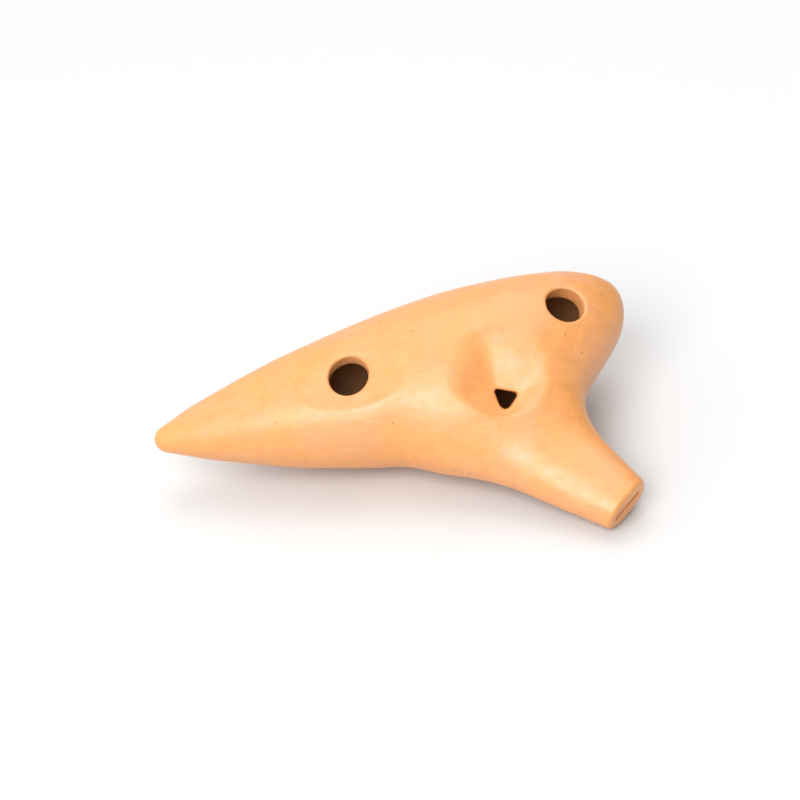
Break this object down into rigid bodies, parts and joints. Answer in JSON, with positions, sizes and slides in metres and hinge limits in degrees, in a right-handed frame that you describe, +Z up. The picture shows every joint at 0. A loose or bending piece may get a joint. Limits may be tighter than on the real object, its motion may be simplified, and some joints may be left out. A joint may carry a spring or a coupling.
{
  "type": "ocarina",
  "caption": "Unglazed terracotta transverse ocarina with a pointed tail, a rounded head, a tapered side mouthpiece, a scooped voicing window, thumb holes and finger holes.",
  "frame": {"origin": "centre of the lowest plane of the whole instrument's box as it lies on a table, thumb side up", "axes": "+X along the body from the pointed tail to the rounded head, +Z up from the table, mouthpiece towards -Y and +X"},
  "size_m": [0.1198, 0.0686, 0.0379],
  "materials": {
    "terracotta_body": "unglazed, burnished to a faint sheen",
    "terracotta_mouthpiece": "unglazed, burnished to a faint sheen",
    "slip": "matte fired slip"
  },
  "bodies": {
    "root": {"thumb_side_shell": "terracotta_body", "finger_side_shell": "terracotta_body", "body_seam_slip": "slip", "mouthpiece_roof": "terracotta_mouthpiece", "mouthpiece_floor": "terracotta_mouthpiece", "labium": "terracotta_body", "mouthpiece_joint_slip": "slip"}
  },
  "joints": []
}
